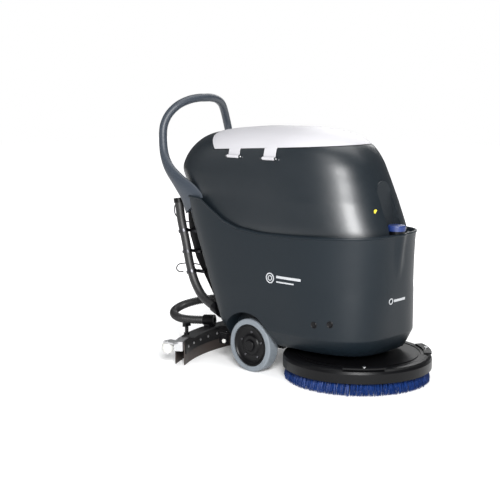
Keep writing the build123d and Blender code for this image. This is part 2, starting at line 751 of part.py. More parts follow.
with BuildPart() as deck_housing:
    add(bar(housing_rear, housing_front, -housing_half_width, housing_half_width, deck_top, housing_top))
    add(bar(housing_rear + housing_wall, housing_front - housing_wall, housing_wall - housing_half_width,
            housing_half_width - housing_wall, deck_top - 1.0, housing_top - housing_wall), mode=Mode.SUBTRACT)
    for side in (-1, 1):
        low, high = sorted((side * (housing_half_width - 2.0), side * lug_y_high))
        add(bar(housing_rear - 2.0, housing_rear + 15.0, low, high, deck_top + 1.0, deck_top + 16.0))
        low, high = sorted((side * lug_y_low, side * lug_y_high))
        add(bar(deck_pivot_x - 9.0, housing_rear - 0.5, low, high, 92.5, deck_top + 14.0))
    add(rod_y(deck_pivot_x, arm_pivot_z, -200.0, 200.0, pin_radius + running_gap), mode=Mode.SUBTRACT)
save(deck_housing.part, "deck_housing")

lug_angle = 47.6
lug_spread = 16.0
lug_low = deck_top + seat_gap
lug_high = deck_top + 6.0


def arc_band(centre_x, inner, outer, mid_angle, half_angle, z_low, z_high):
    """A curved bar: a sector of a ring about (centre_x, 0)."""
    centre = (centre_x, 0)
    with BuildPart() as band:
        with BuildSketch(Plane.XY.offset(z_low)):
            with BuildLine() as edge:
                low_arc = CenterArc(centre, inner, mid_angle - half_angle, 2 * half_angle)
                high_arc = CenterArc(centre, outer, mid_angle - half_angle, 2 * half_angle)
                Line(low_arc @ 0, high_arc @ 0)
                Line(low_arc @ 1, high_arc @ 1)
            make_face()
        extrude(amount=z_high - z_low)
    return band.part


with BuildPart() as side_lugs:
    for side in (-1, 1):
        add(arc_band(brush_x, 242.0, deck_radius - 2.0, side * lug_angle, lug_spread, lug_low, lug_high))
save(side_lugs.part, "side_lugs")

with BuildPart() as deck_bolts:
    for side in (-1, 1):
        low, high = sorted((side * (lug_y_low - 4.0), side * 139.0))
        add(rod_y(deck_pivot_x, arm_pivot_z, low, high, pin_radius))
        turn = math.radians(side * lug_angle)
        with Locations((brush_x + 256.0 * math.cos(turn), 256.0 * math.sin(turn), lug_high + 2.0)):
            Cylinder(7.0, 4.0)
save(deck_bolts.part, "deck_bolts")

with BuildPart() as brush_motor:
    with Locations((brush_x, 0, housing_top + motor_height / 2)):
        Cylinder(motor_radius, motor_height)
    fillet(brush_motor.edges().group_by(Axis.Z)[-1], 8.0)
save(brush_motor.part, "brush_motor")
with BuildPart() as gearbox:
    with Locations((brush_x, 0, (gearbox_low + housing_top - housing_wall) / 2)):
        Cylinder(gearbox_radius, housing_top - housing_wall - gearbox_low)
        Cylinder(shaft_radius + running_gap, housing_top, mode=Mode.SUBTRACT)
save(gearbox.part, "gearbox")
disc_top = bristle_height + disc_thickness
with BuildPart() as drive_shaft:
    with Locations((brush_x, 0, (disc_top + housing_top - 12.0) / 2)):
        Cylinder(shaft_radius, housing_top - 12.0 - disc_top)
save(drive_shaft.part, "drive_shaft")
with BuildPart() as brush_disc:
    with Locations((brush_x, 0, disc_top - disc_thickness / 2)):
        Cylinder(brush_radius - 13.0, disc_thickness)
save(brush_disc.part, "brush_disc")
with BuildPart() as bristles:
    with BuildSketch(Plane(origin=(brush_x, 0, 0), x_dir=(1, 0, 0), z_dir=(0, -1, 0))):
        with BuildLine():
            Polyline((bristle_inner_radius, 0), (brush_radius, 0), (brush_radius - 6.0, bristle_height),
                     (bristle_inner_radius, bristle_height), close=True)
        make_face()
    revolve(axis=Axis((brush_x, 0, 0), (0, 0, 1)))
save(bristles.part, "bristles")

# ---------------------------------------------------------------- squeegee
half_angle = math.degrees(math.asin(squeegee_half_width / squeegee_arc))
body_inner = squeegee_arc - squeegee_depth / 2
body_outer = squeegee_arc + squeegee_depth / 2
blade_inner = body_inner - seat_gap - blade_thickness
roller_x = axle_x - 288.0
roller_y = squeegee_half_width + 15.0
bracket_top = squeegee_top + 5.0
bracket_foot = squeegee_top + seat_gap


def both_sides(low, high, side):
    return sorted((side * low, side * high))


with BuildPart() as squeegee_body:
    add(arc_band(squeegee_mid_x, body_inner, body_outer, 180.0, half_angle, squeegee_bottom, squeegee_top))
    for side in (-1, 1):
        low, high = both_sides(squeegee_half_width - 14.0, roller_y + 12.0, side)
        add(bar(roller_x - 14.0, axle_x - 246.0, low, high, squeegee_top - 6.0, squeegee_top))
        add(rod_z(roller_x, side * roller_y, 40.0, 120.0, 4.0 + running_gap), mode=Mode.SUBTRACT)
save(squeegee_body.part, "squeegee_body")

with BuildPart() as front_blade:
    add(arc_band(squeegee_mid_x, blade_inner, blade_inner + blade_thickness, 180.0, half_angle - 2.0,
                 blade_clearance, squeegee_top - 12.0))
save(front_blade.part, "front_blade")
with BuildPart() as rear_blade:
    add(arc_band(squeegee_mid_x, body_outer + seat_gap, body_outer + seat_gap + blade_thickness, 180.0,
                 half_angle - 3.2, blade_clearance, squeegee_top - 12.0))
save(rear_blade.part, "rear_blade")
with BuildPart() as front_strap:
    add(arc_band(squeegee_mid_x, blade_inner - seat_gap - strap_thickness, blade_inner - seat_gap, 180.0,
                 half_angle - 2.0, squeegee_bottom - 16.0, squeegee_top))
save(front_strap.part, "front_strap")

with BuildPart() as squeegee_bracket:
    add(arc_band(squeegee_mid_x, body_inner - 26.0, body_outer - 8.0, 180.0, 26.0, bracket_foot, bracket_top))
    for side in (-1, 1):
        low, high = both_sides(squeegee_lug_y - 10.0, squeegee_lug_y - slide_gap, side)
        add(bar(axle_x - 321.0, squeegee_pivot_x + 12.0, low, high, 80.0, bracket_top))
    add(rod_y(squeegee_pivot_x, squeegee_pivot_z, -90.0, 90.0, pin_radius + running_gap), mode=Mode.SUBTRACT)
save(squeegee_bracket.part, "squeegee_bracket")

with BuildPart() as suction_port:
    with BuildSketch(end_plane(vacuum_route)):
        Circle(vacuum_hose_radius + 5.0)
        Circle(vacuum_hose_radius - 5.0, mode=Mode.SUBTRACT)
    extrude(amount=44.0)
    add(bar(axle_x - 342.0, axle_x - 312.0, -112.0, -78.0, bracket_top + seat_gap, 112.0))
save(suction_port.part, "suction_port")

knob_x = squeegee_mid_x - math.sqrt(squeegee_arc ** 2 - knob_y ** 2)
knob_height = 46.0


def roller(side, word):
    with BuildPart() as body:
        with BuildSketch(Plane(origin=(roller_x, side * roller_y, 0), x_dir=(1, 0, 0), z_dir=(0, -1, 0))):
            with BuildLine():
                low = squeegee_top - 6.0 - slide_gap - roller_height
                high = squeegee_top - 6.0 - slide_gap
                Polyline((roller_radius - 5.0, high), (4.0 + running_gap, high),
                         (4.0 + running_gap, low), (roller_radius - 5.0, low))
                ThreePointArc((roller_radius - 5.0, low), (roller_radius, (low + high) / 2),
                              (roller_radius - 5.0, high))
            make_face()
        revolve(axis=Axis((roller_x, side * roller_y, 0), (0, 0, 1)))
    save(body.part, "end_roller_" + word)


def knob(side, word):
    with BuildPart() as body:
        with Locations((knob_x, side * knob_y, bracket_top + seat_gap + 3.0)):
            Cylinder(11.0, 6.0)
        with Locations((knob_x, side * knob_y, bracket_top + seat_gap + knob_height / 2)):
            Cylinder(7.0, knob_height)
        with BuildSketch(Plane.XY.offset(bracket_top + seat_gap + knob_height - 14.0)):
            with Locations((knob_x, side * knob_y)):
                RectangleRounded(16.0, 36.0, 6.0)
        extrude(amount=14.0)
    save(body.part, "squeegee_knob_" + word)


roller(-1, "right")
roller(1, "left")
knob(-1, "right")
knob(1, "left")

with BuildPart() as roller_bolts:
    for side in (-1, 1):
        add(rod_z(roller_x, side * roller_y, 50.0, squeegee_top - 0.5, 4.0))
        add(rod_z(roller_x, side * roller_y, 47.0, 52.0, 8.0))
save(roller_bolts.part, "roller_bolts")
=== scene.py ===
import math
import random

import bmesh
import bpy
import numpy as np
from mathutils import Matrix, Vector
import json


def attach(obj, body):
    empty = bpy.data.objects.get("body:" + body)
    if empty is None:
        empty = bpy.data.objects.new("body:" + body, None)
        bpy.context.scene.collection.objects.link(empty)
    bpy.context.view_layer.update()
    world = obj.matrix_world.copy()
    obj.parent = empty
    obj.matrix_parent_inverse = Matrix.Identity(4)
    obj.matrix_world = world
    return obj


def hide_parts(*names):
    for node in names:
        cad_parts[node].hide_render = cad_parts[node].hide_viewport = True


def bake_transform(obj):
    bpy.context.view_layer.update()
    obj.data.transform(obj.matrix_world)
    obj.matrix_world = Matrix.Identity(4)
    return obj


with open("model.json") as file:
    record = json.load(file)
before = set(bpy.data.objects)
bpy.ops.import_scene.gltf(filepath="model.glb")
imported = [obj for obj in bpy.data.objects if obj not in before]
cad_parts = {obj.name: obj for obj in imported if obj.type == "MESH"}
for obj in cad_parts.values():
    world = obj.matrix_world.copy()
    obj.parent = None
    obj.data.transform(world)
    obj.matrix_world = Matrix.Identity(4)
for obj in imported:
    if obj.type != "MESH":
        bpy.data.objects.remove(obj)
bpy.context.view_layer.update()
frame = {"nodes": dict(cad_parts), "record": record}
nodes = frame["nodes"]
random.seed(5)

AXLE = -0.051           # X of the wheel axle; most shapes below are measured from it
WHEEL_Z = 0.100         # height of the wheel axle
SIDES = ((-1, "right"), (1, "left"))
EDGE_ANGLE = math.radians(40)

# ---------------------------------------------------------------- camera
camera_data = bpy.data.cameras.new("camera")
camera = bpy.data.objects.new("camera", camera_data)
bpy.context.collection.objects.link(camera)
camera.location = (2.6407, -3.1572, 1.0932)
CAMERA_DOWN, CAMERA_ROUND = 9.03, 42.44     # degrees below level, and round from the side
camera.rotation_euler = (math.radians(90 - CAMERA_DOWN), 0, math.radians(CAMERA_ROUND))
camera_data.lens = 79.2
camera_data.sensor_width = 36
bpy.context.scene.camera = camera


# ---------------------------------------------------------------- materials
GLOSS_SWING = 0.07
RELIEF_DEPTH = 0.0006


def finish(name, color, rough, grain=500.0, bump=0.15, metal=0.0, coat=0.0,
           vary=0.06, patch=7.0, shine=0.5):
    """A procedural surface: moulded or brushed grain, slight mottling and uneven gloss."""
    material = bpy.data.materials.new(name)
    material.use_nodes = True
    tree = material.node_tree
    shader = tree.nodes["Principled BSDF"]
    shader.inputs["Metallic"].default_value = metal
    shader.inputs["Specular IOR Level"].default_value = shine
    shader.inputs["Coat Weight"].default_value = coat
    shader.inputs["Coat Roughness"].default_value = 0.25
    coord = tree.nodes.new("ShaderNodeTexCoord")
    broad = tree.nodes.new("ShaderNodeTexNoise")
    broad.inputs["Scale"].default_value = patch
    broad.inputs["Detail"].default_value = 4.0
    fine = tree.nodes.new("ShaderNodeTexNoise")
    fine.inputs["Scale"].default_value = grain
    fine.inputs["Detail"].default_value = 3.0
    for texture in (broad, fine):
        tree.links.new(coord.outputs["Object"], texture.inputs["Vector"])
    tint = tree.nodes.new("ShaderNodeMix")
    tint.data_type = "RGBA"     # its inputs 6 and 7 are the two colours, output 2 the mix
    tint.inputs[6].default_value = [c * (1 - vary) for c in color] + [1]
    tint.inputs[7].default_value = [min(1, c * (1 + vary)) for c in color] + [1]
    tree.links.new(broad.outputs["Fac"], tint.inputs[0])
    tree.links.new(tint.outputs[2], shader.inputs["Base Color"])
    gloss = tree.nodes.new("ShaderNodeMapRange")
    gloss.inputs["To Min"].default_value = max(0.05, rough - GLOSS_SWING)
    gloss.inputs["To Max"].default_value = min(1.0, rough + GLOSS_SWING)
    tree.links.new(broad.outputs["Fac"], gloss.inputs["Value"])
    tree.links.new(gloss.outputs["Result"], shader.inputs["Roughness"])
    relief = tree.nodes.new("ShaderNodeBump")
    relief.inputs["Strength"].default_value = bump
    relief.inputs["Distance"].default_value = RELIEF_DEPTH
    tree.links.new(fine.outputs["Fac"], relief.inputs["Height"])
    tree.links.new(relief.outputs["Normal"], shader.inputs["Normal"])
    return material


SHELL = finish("shell_finish", (0.0045, 0.008, 0.0115), 0.43, grain=900, bump=0.3, shine=0.22)
TANK = finish("tank_finish", (0.0045, 0.0075, 0.0105), 0.40, grain=900, bump=0.4, coat=0.2)
LID = finish("lid_finish", (0.39, 0.385, 0.405), 0.5, grain=700, bump=0.12, vary=0.03)
HANDLE = finish("handle_finish", (0.026, 0.033, 0.044), 0.45, grain=800, bump=0.2)
BLACK = finish("black_finish", (0.0025, 0.0025, 0.003), 0.36, grain=700, bump=0.2, shine=0.17)
FRAME = finish("frame_finish", (0.015, 0.015, 0.016), 0.38, grain=300, bump=0.1)
TYRE = finish("tyre_finish", (0.15, 0.17, 0.19), 0.62, grain=350, bump=0.35, vary=0.12, patch=25)
RUBBER = finish("hose_finish", (0.008, 0.008, 0.0085), 0.5, grain=500, bump=0.3)
BLADE = finish("blade_finish", (0.026, 0.018, 0.015), 0.55, grain=300, bump=0.25, vary=0.2)
STEEL = finish("dark_steel_finish", (0.06, 0.06, 0.065), 0.35, grain=400, metal=1.0, bump=0.1)
BRIGHT = finish("bright_steel_finish", (0.62, 0.62, 0.63), 0.3, grain=400, metal=1.0, bump=0.1)
ALLOY = finish("alloy_finish", (0.58, 0.58, 0.59), 0.38, grain=250, metal=0.9, bump=0.3,
               vary=0.12, patch=30)
BLUE = finish("bristle_finish", (0.003, 0.020, 0.105), 0.42, grain=900, bump=0.1, shine=0.25,
              vary=0.5, patch=60)
DEEP_BLUE = finish("cap_finish", (0.008, 0.022, 0.105), 0.4, grain=700, bump=0.2)
YELLOW = finish("marker_finish", (0.60, 0.50, 0.03), 0.4, grain=500, bump=0.1)
PALE = finish("roller_finish", (0.52, 0.52, 0.50), 0.5, grain=500, bump=0.2, vary=0.1)
PRINT = finish("print_finish", (0.36, 0.37, 0.385), 0.5, grain=600, bump=0.05)
GREEN = finish("button_finish", (0.02, 0.26, 0.06), 0.35, grain=500, bump=0.1)

by_slot = {
    "shell_plastic": SHELL, "lid_plastic": LID, "handle_plastic": HANDLE, "black_plastic": BLACK,
    "frame_paint": FRAME, "tyre_grey": TYRE, "hose_black": RUBBER, "seal_rubber": RUBBER,
    "blade_rubber": BLADE, "dark_steel": STEEL, "bright_steel": BRIGHT, "cast_aluminium": ALLOY,
    "bristle_blue": BLUE, "cap_blue": DEEP_BLUE, "marker_yellow": YELLOW, "roller_grey": PALE,
    "battery_case": BLACK, "emblem_dark": PRINT, "button_green": GREEN,
}
for entry in frame["record"]["subparts"]:
    owner = nodes[entry["node"]]
    if not owner.material_slots:
        owner.data.materials.append(None)
    for place in owner.material_slots:
        place.link = "OBJECT"
        place.material = by_slot[entry["material_slot"]]
for place in nodes["rear_blocks"].material_slots:
    place.material = BLACK


# ---------------------------------------------------------------- mesh helpers
SMOOTH_ANGLE = 38       # degrees between faces, above which an edge stays sharp


def mesh_object(name, verts, faces, material, angle=SMOOTH_ANGLE):
    """A new object from points and faces, with its faces turned outwards."""
    mesh = bpy.data.meshes.new(name)
    mesh.from_pydata([tuple(v) for v in verts], [], faces)
    mesh.update()
    work = bmesh.new()
    work.from_mesh(mesh)
    bmesh.ops.recalc_face_normals(work, faces=work.faces)
    work.to_mesh(mesh)
    work.free()
    mesh.materials.append(material)
    mesh.shade_smooth()
    mesh.set_sharp_from_angle(angle=math.radians(angle))
    piece = bpy.data.objects.new(name, mesh)
    bpy.context.collection.objects.link(piece)
    return piece


def circle(count):
    """Cosine and sine of evenly spaced angles."""
    return [(math.cos(2 * math.pi * i / count), math.sin(2 * math.pi * i / count))
            for i in range(count)]


def band(first, second, count):
    """Faces between two rings of count points, given the number of each ring's first point."""
    return [(first + i, first + (i + 1) % count, second + (i + 1) % count, second + i)
            for i in range(count)]


def loft(name, rings, material, angle=SMOOTH_ANGLE):
    """A skin over rings of points, each end closed by a fan."""
    count = len(rings[0])
    verts = [p for ring in rings for p in ring]
    faces = []
    for k in range(len(rings) - 1):
        faces += band(k * count, (k + 1) * count, count)
    for k in (0, len(rings) - 1):
        verts.append(np.mean(np.array(rings[k]), axis=0))
        hub = len(verts) - 1
        for i in range(count):
            faces.append((k * count + i, k * count + (i + 1) % count, hub))
    return mesh_object(name, verts, faces, material, angle)


def prism(name, outline, y_low, y_high, material):
    """A straight prism along Y over an outline of (x, z) pairs."""
    rings = [[(x, y, z) for x, z in outline] for y in (y_low, y_high)]
    return loft(name, rings, material)


def block(x_low, x_high, y_low, y_high, z_low, z_high):
    """A plain box to cut with."""
    outline = [(x_low, z_low), (x_high, z_low), (x_high, z_high), (x_low, z_high)]
    return prism("block", outline, y_low, y_high, BLACK)


def drum(name, centre, axis, profile, material, count=64, angle=SMOOTH_ANGLE):
    """A turned piece: profile is (radius, distance along the axis) pairs."""
    axis = Vector(axis).normalized()
    turn = axis.to_track_quat("Z", "Y").to_matrix()
    rings = []
    for radius, along in profile:
        rings.append([Vector(centre) + turn @ Vector((radius * c, radius * s, along))
                      for c, s in circle(count)])
    return loft(name, rings, material, angle)


def combine(piece, other, operation, angle=SMOOTH_ANGLE):
    """Boolean of piece with other; other is used up."""
    step = piece.modifiers.new("step", "BOOLEAN")
    step.operation = operation
    step.solver = "EXACT"
    step.object = other
    graph = bpy.context.evaluated_depsgraph_get()
    mesh = bpy.data.meshes.new_from_object(piece.evaluated_get(graph))
    piece.modifiers.clear()
    piece.data = mesh
    mesh.shade_smooth()
    mesh.set_sharp_from_angle(angle=math.radians(angle))
    bpy.data.objects.remove(other)


def soften(piece, width, segments):
    """Rounded edges."""
    rounding = piece.modifiers.new("soft_edge", "BEVEL")
    rounding.width = width
    rounding.segments = segments
    rounding.angle_limit = EDGE_ANGLE


def copy_of(piece, name):
    """A second object with its own mesh."""
    twin = bpy.data.objects.new(name, piece.data.copy())
    bpy.context.collection.objects.link(twin)
    return twin


def smooth_rows(rows, steps):
    """Rows of numbers with others between them, on a smooth curve through all."""
    rows = np.array(rows, float)
    out = []
    last = len(rows) - 1
    for k in range(last):
        before = rows[max(k - 1, 0)]
        here, after = rows[k], rows[k + 1]
        beyond = rows[min(k + 2, last)]
        for s in range(steps):
            t = s / steps
            out.append(0.5 * (2 * here + (after - before) * t
                              + (2 * before - 5 * here + 4 * after - beyond) * t * t
                              + (3 * here - before - 3 * after + beyond) * t ** 3))
    out.append(rows[-1])
    return out


HALF_COUNT = 90         # spaces between the points of half a plan outline
OVAL_SAMPLES = 1600


def oval(mid, rear, front, half, rear_power, front_power):
    """A plan outline, evenly spaced, starting at the middle of the front. Metres from the axle."""
    t = np.linspace(0, math.pi, OVAL_SAMPLES)
    c = np.cos(t)
    s = np.clip(np.sin(t), 0, 1)
    power = np.where(c >= 0, front_power, rear_power)
    reach = np.where(c >= 0, front - mid, mid - rear)
    x = mid + reach * np.sign(c) * np.abs(c) ** (2 / power)
    y = half * s ** (2 / power)
    run = np.concatenate([[0], np.cumsum(np.hypot(np.diff(x), np.diff(y)))])
    at = np.linspace(0, run[-1], HALF_COUNT + 1)
    x, y = np.interp(at, run, x), np.interp(at, run, y)
    x = np.concatenate([x, x[-2:0:-1]])
    y = np.concatenate([y, -y[-2:0:-1]])
    return np.stack([x, y], axis=1)


def inset_ring(ring, amount):
    """The outline moved inwards by amount."""
    ahead = np.roll(ring, -1, axis=0) - np.roll(ring, 1, axis=0)
    normal = np.stack([ahead[:, 1], -ahead[:, 0]], axis=1)
    normal /= np.linalg.norm(normal, axis=1)[:, None] + 1e-9
    return ring - normal * amount


# ---------------------------------------------------------------- lower shell
SHELL_ROWS = np.array([
    # height, front, half width
    (0.110, 0.474, 0.202), (0.120, 0.478, 0.206), (0.178, 0.501, 0.237), (0.330, 0.511, 0.240),
    (0.430, 0.513, 0.240), (0.500, 0.516, 0.240), (0.557, 0.521, 0.240), (0.660, 0.530, 0.240),
])
SHELL_MID = 0.150       # X where the shell is widest
REAR_POWER = 7.0        # how square its rear corners are
LEDGE_X = np.array([-0.245, -0.184, -0.116, -0.042, 0.067, 0.206, 0.300, 0.540])
LEDGE_Z = np.array([0.640, 0.604, 0.566, 0.544, 0.534, 0.536, 0.539, 0.548])


def shell_size(z):
    """The X of the front and the half width at height z."""
    return [np.interp(z, SHELL_ROWS[:, 0], SHELL_ROWS[:, k]) for k in (1, 2)]


def shell_rear(z):
    """The X of the raked rear wall at height z."""
    return -0.146 - 0.42 * (z - 0.104)


def nose_power(z):
    """How square the shell's front corners are at height z."""
    return np.interp(z, [0.18, 0.35], [3.3, 2.8])


def shell_outline(z):
    """The plan outline at height z, with the filler spout's swelling at the front."""
    front, half = shell_size(z)
    ring = oval(SHELL_MID, shell_rear(z), front, half, REAR_POWER, nose_power(z))
    bulge_radius = np.interp(z, [0.36, 0.400, 0.557], [0.012, 0.025, 0.047])
    bulge_x = np.interp(z, [0.30, 0.36, 0.400, 0.557], [0.400, 0.480, 0.490, 0.485])
    near = np.abs(ring[:, 1]) < bulge_radius
    spout = bulge_x + np.sqrt(np.clip(bulge_radius ** 2 - ring[:, 1] ** 2, 0, None))
    ring[:, 0] = np.where(near & (ring[:, 0] > 0.4), np.maximum(ring[:, 0], spout), ring[:, 0])
    return ring


TABLE_STEP = 0.005
TABLE_Z = np.arange(0.110, 0.665, TABLE_STEP)
TABLE = np.array([shell_outline(z) for z in TABLE_Z])
COUNT = TABLE.shape[1]


def shell_at(z):
    """Outline points whose heights are z, one per point."""
    k = np.clip((z - TABLE_Z[0]) / TABLE_STEP, 0, len(TABLE_Z) - 1.001)
    low = k.astype(int)
    part = (k - low)[:, None]
    index = np.arange(COUNT)
    return TABLE[low, index] * (1 - part) + TABLE[low + 1, index] * part


def shell_ring(z, inset=0.0):
    """A ring of 3-D points whose heights are z, one per point."""
    flat = inset_ring(shell_at(z), inset)
    return [(AXLE + p[0], p[1], h) for p, h in zip(flat, z)]


top_z = np.full(COUNT, 0.56)
for _ in range(12):
    top_z = 0.5 * top_z + 0.5 * np.interp(shell_at(top_z)[:, 0], LEDGE_X, LEDGE_Z)

LEDGE_FLOOR = 0.530     # bottom of the lip's inner wall
BAND_TOP = 0.182        # top of the band round the shell's foot
level = np.ones(COUNT)
rings = [shell_ring(z * level, inset) for z, inset in (
    (0.120, 0.004), (0.1225, 0.0005), (0.150, 0.0), (0.1765, 0.0), (0.1785, 0.0), (BAND_TOP, 0.0))]
for u in np.linspace(0.03, 1.0, 26):
    rings.append(shell_ring(BAND_TOP + u * (top_z - 0.010 - BAND_TOP)))
for drop, inset in ((0.008, -0.0022), (0.003, -0.0026), (0.0006, -0.0010), (0.0, 0.0015),
                    (0.0006, 0.0050), (0.003, 0.0066)):
    rings.append(shell_ring(top_z - drop, inset))
rings.append(shell_ring(np.minimum(top_z - 0.004, LEDGE_FLOOR + 0.004), 0.0075))
rings.append(shell_ring(LEDGE_FLOOR * level, 0.0085))
shell = loft("shell_skin", rings, SHELL, 40)

# Room for the parts inside (in the shared frame's X), the duct, the filler bore and the wheels.
for room in ((-0.173, 0.377, -0.149, 0.149, 0.10, 0.27),
             (-0.200, 0.3755, -0.1595, 0.1595, 0.1275, 0.160),
             (0.035, 0.358, -0.1915, 0.1915, 0.150, 0.485)):
    combine(shell, block(*room), "DIFFERENCE", 40)
for name, x, z, radius, length in (("duct_way", -0.05, 0.28, 0.028, 0.3),
                                   ("bore_way", 0.5, 0.505, 0.023, 0.1)):
    way = drum(name, (AXLE + x, 0, z), (0, 0, 1), [(radius, 0), (radius, length)], SHELL)
    combine(shell, way, "DIFFERENCE", 40)
for side, _ in SIDES:
    arch = drum("arch", (AXLE, side * 0.166, WHEEL_Z), (0, side, 0),
                [(0.128, 0), (0.128, 0.12)], SHELL, 96)
    combine(shell, arch, "DIFFERENCE", 40)
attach(shell, "machine")
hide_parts("solution_tank")


def shell_side(x, z, side, proud):
    """A point on the shell's side at x from the axle and height z."""
    front, half = shell_size(z)
    if x > SHELL_MID:
        reach, power = front - SHELL_MID, nose_power(z)
    else:
        reach, power = SHELL_MID - shell_rear(z), REAR_POWER
    y = half * (1 - (abs(x - SHELL_MID) / reach) ** power) ** (1 / power)
    return Vector((AXLE + x, side * (y + proud), z))


def shell_nose(y, z, proud):
    """A point on the shell's front at y and height z."""
    front, half = shell_size(z)
    power = nose_power(z)
    x = SHELL_MID + (front - SHELL_MID) * (1 - (abs(y) / half) ** power) ** (1 / power)
    return Vector((AXLE + x + proud, y, z))


def patch_mesh(name, where, low, high, material):
    """A thin plate laid on a surface: where(u, v, proud) gives the points."""
    across, up = 28, 6
    verts, faces = [], []
    for proud in (-0.0006, 0.0011):     # its back lies just under the surface
        for j in range(up + 1):
            for i in range(across + 1):
                u = low[0] + (high[0] - low[0]) * i / across
                v = low[1] + (high[1] - low[1]) * j / up
                verts.append(where(u, v, proud))
    row = across + 1
    layer = row * (up + 1)
    for j in range(up):
        for i in range(across):
            a = j * row + i
            faces.append((a, a + 1, a + row + 1, a + row))
            faces.append((layer + a, layer + a + row, layer + a + row + 1, layer + a + 1))
    edge = list(range(row)) + [row * j + across for j in range(1, up + 1)]
    edge += [row * up + i for i in range(across - 1, -1, -1)]
    edge += [row * j for j in range(up - 1, 0, -1)]
    for a, b in zip(edge, edge[1:] + edge[:1]):
        faces.append((a, b, layer + b, layer + a))
    return mesh_object(name, verts, faces, material, 50)


def ring_mark(name, where, centre, radius, width, material):
    """A flat ring laid on a surface."""
    count, low, high = 40, 0.0002, 0.0016
    hole = radius - width
    verts, faces = [], []
    for r, proud in ((radius, low), (radius, high), (hole, high), (hole, low)):
        for c, s in circle(count):
            verts.append(where(centre[0] + r * c, centre[1] + r * s, proud))
    for k in range(4):
        faces += band(k * count, (k + 1) % 4 * count, count)
    return mesh_object(name, verts, faces, material, 50)


EMBLEM_CENTRE = (0.122, 0.374)
emblems = []
for side, word in SIDES:
    def on_side(u, v, proud, side=side):
        return shell_side(u, v, side, proud)
    for part, radius, width in (("ring", 0.019, 0.004), ("core", 0.010, 0.003)):
        emblems.append(ring_mark("emblem_%s_%s" % (part, word), on_side, EMBLEM_CENTRE,
                                 radius, width, PRINT))
    for part, low, high in (("bar", (0.152, 0.377), (0.262, 0.386)),
                            ("line", (0.152, 0.361), (0.232, 0.366))):
        emblems.append(patch_mesh("emblem_%s_%s" % (part, word), on_side, low, high, PRINT))
emblems.append(ring_mark("emblem_ring_front", shell_nose, (-0.040, 0.311), 0.011, 0.003, PRINT))
emblems.append(patch_mesh("emblem_bar_front", shell_nose, (-0.022, 0.306), (0.046, 0.315), PRINT))
for piece in emblems:
    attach(piece, "machine")
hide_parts("emblem_plates")

SIDE_SCREW = [(0.0120, 0), (0.0120, 0.0028), (0.0105, 0.0038), (0.0090, 0.0026),
              (0.0052, 0.0024), (0.0048, 0.0034), (0.0001, 0.0036)]
BLOCK_SCREW = [(0.0085, 0), (0.0085, 0.0060), (0.0070, 0.0078), (0.0001, 0.0080)]
screws = []
for side, word in SIDES:
    for index, (x, z) in enumerate(((0.318, 0.229), (0.379, 0.237))):
        seat = shell_side(x, z, side, 0.0)
        slope = shell_side(x + 0.004, z, side, 0) - shell_side(x - 0.004, z, side, 0)
        out = Vector((0, 0, 1)).cross(slope.normalized())
        if out.y * side < 0:
            out = -out
        screws.append(drum("side_screw_%s_%d" % (word, index), seat - out * 0.002, out,
                           SIDE_SCREW, BLACK, 32))
    screws.append(drum("block_screw_" + word, (AXLE - 0.141, side * 0.203, 0.092), (0, side, 0),
                       BLOCK_SCREW, PALE, 6, 20))
for piece in screws:
    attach(piece, "machine")
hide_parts("shell_screws")

# ---------------------------------------------------------------- upper tank and lid
TAB_X, TAB_HALF = (-0.097, 0.077), 0.0275
HINGE_Y, HINGE_Z = -0.201, 0.798
PIN_PROFILE = [(0.0024, 0), (0.0030, 0.0006), (0.0030, 0.0774), (0.0024, 0.078)]
KNUCKLE_PROFILE = [(0.0050, 0), (0.0060, 0.001), (0.0060, 0.054), (0.0050, 0.055)]
TANK_FLOOR = 0.5303
TANK_FRONT_POWER = 2.4
TANK_ROWS = [
    # height, rear, front, half width, rear power
    (TANK_FLOOR, -0.305, 0.502, 0.228, 7.0), (0.565, -0.318, 0.495, 0.226, 7.0),
    (0.640, -0.352, 0.465, 0.217, 6.0), (0.690, -0.408, 0.445, 0.212, 5.0),
    (0.740, -0.440, 0.424, 0.206, 4.5), (0.794, -0.425, 0.397, 0.197, 4.0),
    (0.841, -0.385, 0.357, 0.185, 3.4), (0.870, -0.335, 0.308, 0.160, 3.0),
    (0.890, -0.240, 0.245, 0.118, 2.6), (0.903, -0.090, 0.140, 0.055, 2.2),
]
CROWN_TOP, CROWN_DEPTH = 0.905, 0.06    # an inset turns from sideways to downwards in the crown


def dome(name, inset, material):
    """The whole upper form, tank and lid together, drawn inwards by inset."""
    rings = []
    for z, rear, front, half, power in smooth_rows(TANK_ROWS, 8):
        share = min(1.0, max(0.0, (CROWN_TOP - z) / CROWN_DEPTH))
        mid = min(0.100, (rear + front) / 2 + 0.05)
        ring = inset_ring(oval(mid, rear, front, half, power, TANK_FRONT_POWER), inset * share)
        height = max(z - inset * (1 - share), TANK_FLOOR + max(inset, 0))
        rings.append([(AXLE + p[0], p[1], height) for p in ring])
    return loft(name, rings, material, 40)


CUT_REAR = -0.203       # X where the lid's lower edge begins at the rear


def cut_height(x):
    """Height of the lid's lower edge, which climbs towards the front."""
    return 0.820 + 0.056 * (x - CUT_REAR)


def lid_prism(name, drop):
    """Everything above the lid's lower edge, from drop below it."""
    rear_top = -0.280 - 1.5 * drop
    outline = [(CUT_REAR - drop, cut_height(CUT_REAR) - drop), (rear_top, 0.895),
               (rear_top, 0.96), (0.5, 0.96), (0.5, cut_height(0.5) - drop)]
    return prism(name, [(AXLE + x, z) for x, z in outline], -0.3, 0.3, BLACK)


tank = dome("tank_skin", 0.0, TANK)
combine(tank, dome("tank_inside", 0.005, TANK), "DIFFERENCE")
combine(tank, lid_prism("lid_way", 0.003), "DIFFERENCE")

